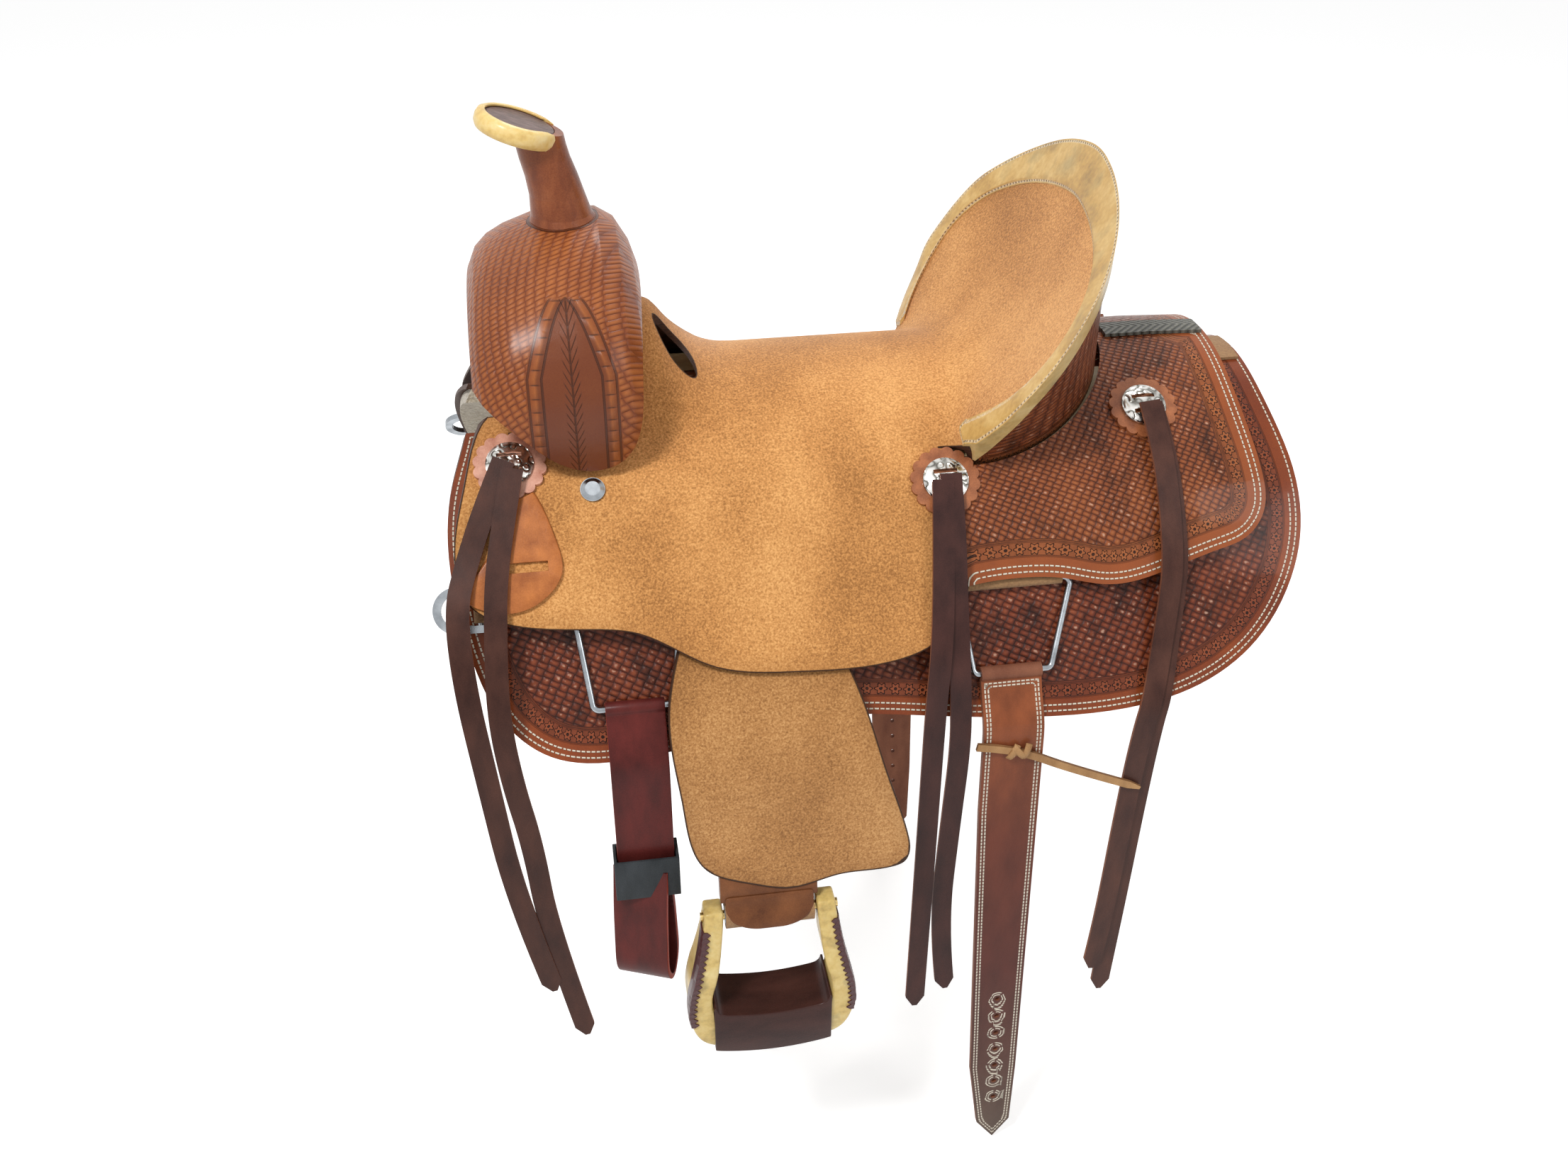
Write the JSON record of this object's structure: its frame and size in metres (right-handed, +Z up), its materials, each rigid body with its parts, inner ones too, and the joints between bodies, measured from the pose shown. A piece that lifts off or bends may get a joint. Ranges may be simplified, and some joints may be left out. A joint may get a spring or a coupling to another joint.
{
  "type": "western saddle",
  "caption": "Western saddle with horn, deep cantle, stamped skirts, rough-out seat and fenders, swinging stirrups and hanging straps.",
  "frame": {"origin": "on the spine line, on the fleece's underside, at mid length", "axes": "-X to the horse's head, -Y to the near (left) side, +Z up"},
  "size_m": [0.7382, 0.593, 1.007],
  "materials": {
    "roughout": "nubuck, sprayed texture",
    "tooled": "basket stamped, antiqued",
    "rawhide": "smooth, stitched",
    "grey_leather": "worn",
    "latigo_leather": "oiled",
    "dark_leather": "smooth",
    "plain_leather": "smooth",
    "wool": "short fleece",
    "tree_wood": "sanded",
    "steel": "brushed",
    "chrome": "polished, engraved",
    "brass": "polished"
  },
  "bodies": {
    "saddle": {"skirt_near": "tooled", "skirt_off": "tooled", "rear_jockey_near": "tooled", "rear_jockey_off": "tooled", "fork_cover": "tooled", "cantle_back_cover": "tooled", "horn_wrap": "tooled", "fleece_lining": "wool", "skirt_connector": "plain_leather", "ground_seat": "plain_leather", "front_rigging": "plain_leather", "rear_rigging": "plain_leather", "breast_collar_tabs": "plain_leather", "latigo_carriers": "plain_leather", "rosettes": "plain_leather", "tree_bars": "tree_wood", "tree_fork": "tree_wood", "tree_cantle": "tree_wood", "seat_leather": "roughout", "horn_cap": "grey_leather", "spine_lacing": "grey_leather", "horn_binding": "rawhide", "cantle_binding": "rawhide", "horn_core": "steel", "conchos": "chrome", "seat_screws": "chrome", "saddle_strings_front": "dark_leather", "saddle_strings_mid": "dark_leather", "saddle_strings_rear": "dark_leather"},
    "fender_near_body": {"fender_near": "roughout", "stirrup_leather_near": "plain_leather", "hobble_strap_near": "plain_leather", "leather_buckle_near": "brass"},
    "stirrup_near_body": {"stirrup_frame_near": "rawhide", "stirrup_tread_near": "dark_leather", "stirrup_bolt_near": "steel", "stirrup_roller_near": "steel"},
    "front_dee_near_body": {"front_dee_near": "steel"},
    "rear_dee_near_body": {"rear_dee_near": "steel"},
    "rear_billet_near_body": {"rear_billet_near": "dark_leather", "billet_thong_near": "dark_leather"},
    "breast_dee_near_body": {"breast_dee_near": "steel"},
    "fender_off_body": {"fender_off": "roughout", "stirrup_leather_off": "plain_leather", "hobble_strap_off": "plain_leather", "leather_buckle_off": "brass"},
    "stirrup_off_body": {"stirrup_frame_off": "rawhide", "stirrup_tread_off": "dark_leather", "stirrup_bolt_off": "steel", "stirrup_roller_off": "steel"},
    "front_dee_off_body": {"front_dee_off": "steel"},
    "rear_dee_off_body": {"rear_dee_off": "steel"},
    "rear_billet_off_body": {"rear_billet_off": "dark_leather", "billet_thong_off": "dark_leather"},
    "breast_dee_off_body": {"breast_dee_off": "steel"},
    "latigo_body": {"latigo": "latigo_leather", "latigo_keeper": "dark_leather"},
    "off_billet_body": {"off_billet": "latigo_leather"}
  },
  "joints": [
    {"name": "fender_near_swing", "type": "hinge", "parent": "saddle", "child": "fender_near_body", "pos_m": [-0.115, -0.10013, -0.01793], "axis": [0, 0.7641, -0.6451], "range_deg": [-7, 0]},
    {"name": "stirrup_near_swing", "type": "hinge", "parent": "fender_near_body", "child": "stirrup_near_body", "pos_m": [-0.115, -0.27146, -0.35126], "axis": [-1, 0, 0], "range_deg": [-35, 75]},
    {"name": "front_dee_near_lift", "type": "hinge", "parent": "saddle", "child": "front_dee_near_body", "pos_m": [-0.215, -0.17467, -0.10165], "axis": [1, 0, 0], "range_deg": [-5, 0]},
    {"name": "rear_dee_near_lift", "type": "hinge", "parent": "saddle", "child": "rear_dee_near_body", "pos_m": [0.1005, -0.17467, -0.10165], "axis": [-1, 0, 0], "range_deg": [0, 20]},
    {"name": "rear_billet_near_swing", "type": "hinge", "parent": "rear_dee_near_body", "child": "rear_billet_near_body", "pos_m": [0.1005, -0.21486, -0.16497], "axis": [-1, 0, 0], "range_deg": [0, 40]},
    {"name": "breast_dee_near_lift", "type": "hinge", "parent": "saddle", "child": "breast_dee_near_body", "pos_m": [-0.331, -0.16635, -0.08976], "axis": [0, 0.5837, 0.812], "range_deg": [0, 25]},
    {"name": "fender_off_swing", "type": "hinge", "parent": "saddle", "child": "fender_off_body", "pos_m": [-0.115, 0.10013, -0.01793], "axis": [0, 0.7641, 0.6451], "range_deg": [-7, 0]},
    {"name": "stirrup_off_swing", "type": "hinge", "parent": "fender_off_body", "child": "stirrup_off_body", "pos_m": [-0.115, 0.27146, -0.35126], "axis": [1, 0, 0], "range_deg": [-35, 75]},
    {"name": "front_dee_off_lift", "type": "hinge", "parent": "saddle", "child": "front_dee_off_body", "pos_m": [-0.215, 0.17467, -0.10165], "axis": [-1, 0, 0], "range_deg": [-5, 0]},
    {"name": "rear_dee_off_lift", "type": "hinge", "parent": "saddle", "child": "rear_dee_off_body", "pos_m": [0.1005, 0.17467, -0.10165], "axis": [1, 0, 0], "range_deg": [0, 20]},
    {"name": "rear_billet_off_swing", "type": "hinge", "parent": "rear_dee_off_body", "child": "rear_billet_off_body", "pos_m": [0.1005, 0.21486, -0.16497], "axis": [1, 0, 0], "range_deg": [0, 40]},
    {"name": "breast_dee_off_lift", "type": "hinge", "parent": "saddle", "child": "breast_dee_off_body", "pos_m": [-0.331, 0.16635, -0.08976], "axis": [0, 0.5837, -0.812], "range_deg": [0, 25]},
    {"name": "latigo_swing", "type": "hinge", "parent": "front_dee_near_body", "child": "latigo_body", "pos_m": [-0.215, -0.21486, -0.16497], "axis": [1, 0, 0], "range_deg": [-40, 0]},
    {"name": "off_billet_swing", "type": "hinge", "parent": "front_dee_off_body", "child": "off_billet_body", "pos_m": [-0.215, 0.21486, -0.16497], "axis": [-1, 0, 0], "range_deg": [-40, 0]}
  ]
}
